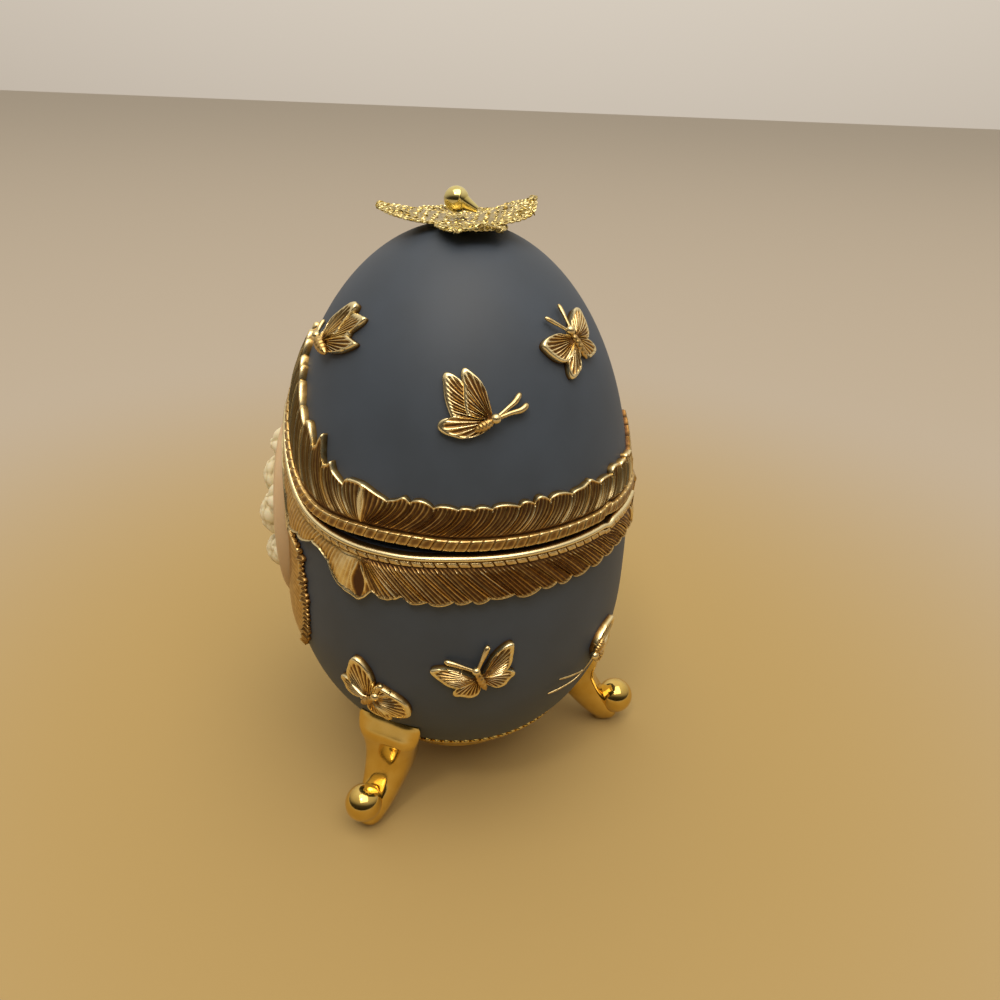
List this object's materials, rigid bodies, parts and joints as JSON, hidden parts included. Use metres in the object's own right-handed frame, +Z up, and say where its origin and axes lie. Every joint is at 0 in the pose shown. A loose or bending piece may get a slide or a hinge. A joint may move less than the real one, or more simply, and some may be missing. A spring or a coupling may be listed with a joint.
{
  "type": "jewelled egg trinket box",
  "caption": "Egg-shaped trinket box with a hinged lid, gilt seam trim, butterflies, a front cameo and a footed stand.",
  "frame": {"origin": "on the table under the axis of the egg", "axes": "+Z up, -Y out of the cameo front, +Y toward the hinge"},
  "size_m": [0.0654, 0.0711, 0.1063],
  "materials": {
    "shell": "satin slate-blue lacquer",
    "trim": "antiqued gilt with brown recesses",
    "stand": "polished gilt",
    "plaque": "tan moulded ground",
    "relief": "cream moulded relief",
    "ribbon": "pale gold metallic mesh ribbon"
  },
  "bodies": {
    "base": {"egg_base": "shell", "base_band": "trim", "cameo_plaque": "plaque", "cameo_relief": "relief", "cameo_frame": "trim", "egg_stand": "stand", "hinge_base_leaf": "trim", "hinge_pin": "trim", "butterfly_base_front_right": "trim", "butterfly_base_front_left": "trim", "butterfly_base_side_right": "trim", "butterfly_base_side_left": "trim", "butterfly_base_back_right": "trim", "butterfly_base_back_left": "trim"},
    "lid": {"egg_lid": "shell", "lid_band": "trim", "hinge_lid_leaf": "trim", "ribbon_rosette": "ribbon", "finial_bead": "trim", "butterfly_lid_front_right": "trim", "butterfly_lid_front_left": "trim", "butterfly_lid_side_right": "trim", "butterfly_lid_side_left": "trim", "butterfly_lid_back_right": "trim", "butterfly_lid_back_left": "trim"}
  },
  "joints": [
    {"name": "lid_hinge", "type": "hinge", "parent": "base", "child": "lid", "pos_m": [0, 0.0302, 0.06], "axis": [-1, 0, 0], "range_deg": [0, 100]}
  ]
}
